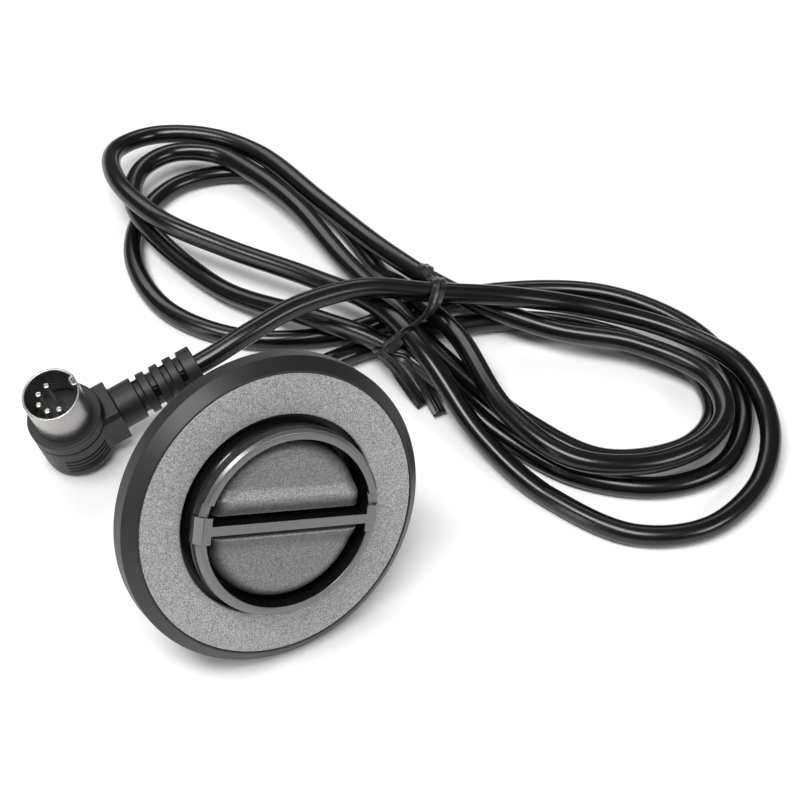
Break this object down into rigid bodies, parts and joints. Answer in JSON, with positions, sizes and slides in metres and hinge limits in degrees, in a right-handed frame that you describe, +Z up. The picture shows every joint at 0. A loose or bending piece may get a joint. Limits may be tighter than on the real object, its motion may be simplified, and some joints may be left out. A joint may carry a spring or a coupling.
{
  "type": "hand controller",
  "caption": "Round hand control with two half-round push buttons in a leaning panel flange, a bundled cord and a right-angle multi-pin plug",
  "frame": {"origin": "on the surface that the part stands on, at the middle of the control without its free cord", "axes": "+X along the flange's width to the right as the buttons are faced, +Y away from the buttons towards the back, +Z up"},
  "size_m": [0.1629, 0.189, 0.0636],
  "materials": {
    "dark_abs": "satin moulded ABS, dark charcoal",
    "silver_paint": "metallic silver-grey lacquer on ABS, fine sparkle",
    "black_gloss": "gloss black ABS",
    "black_matt": "matt black moulded plastic",
    "white_nylon": "natural nylon",
    "spring_steel": "bright spring steel",
    "tin": "tin-plated",
    "board": "solder mask over glass-epoxy laminate",
    "zinc": "zinc-plated",
    "wire_skin": "coloured PVC",
    "cord_pvc": "soft black PVC, semi-gloss",
    "hood_pvc": "moulded black PVC, satin",
    "nickel": "nickel-plated steel"
  },
  "bodies": {
    "housing": {"bezel": "dark_abs", "face_ring": "silver_paint", "collar_ring": "black_gloss", "upper_trim": "silver_paint", "lower_trim": "silver_paint", "centre_bar": "silver_paint", "upper_spring": "spring_steel", "lower_spring": "spring_steel", "guide_plate": "black_matt", "upper_switch": "black_matt", "lower_switch": "black_matt", "switch_terminals": "tin", "circuit_board": "board", "board_screws": "zinc", "rear_housing": "black_matt", "housing_screws": "zinc", "panel_clips": "spring_steel", "cord_gland": "cord_pvc", "lead_wires": "wire_skin", "cord": "cord_pvc", "twist_tie": "cord_pvc", "plug_shell": "nickel", "plug_insert": "black_matt", "plug_pins": "nickel", "plug_hood": "hood_pvc", "plug_boot": "hood_pvc"},
    "upper_button": {"upper_button": "silver_paint", "upper_plunger": "white_nylon"},
    "lower_button": {"lower_button": "silver_paint", "lower_plunger": "white_nylon"}
  },
  "joints": [
    {"name": "upper_press", "type": "slide", "parent": "housing", "child": "upper_button", "axis": [0, 0.9278, -0.373], "range_m": [0, 0.0015], "stiffness_N_per_m": 600, "deforming": ["upper_spring"]},
    {"name": "lower_press", "type": "slide", "parent": "housing", "child": "lower_button", "axis": [0, 0.9278, -0.373], "range_m": [0, 0.0015], "stiffness_N_per_m": 600, "deforming": ["lower_spring"]}
  ]
}
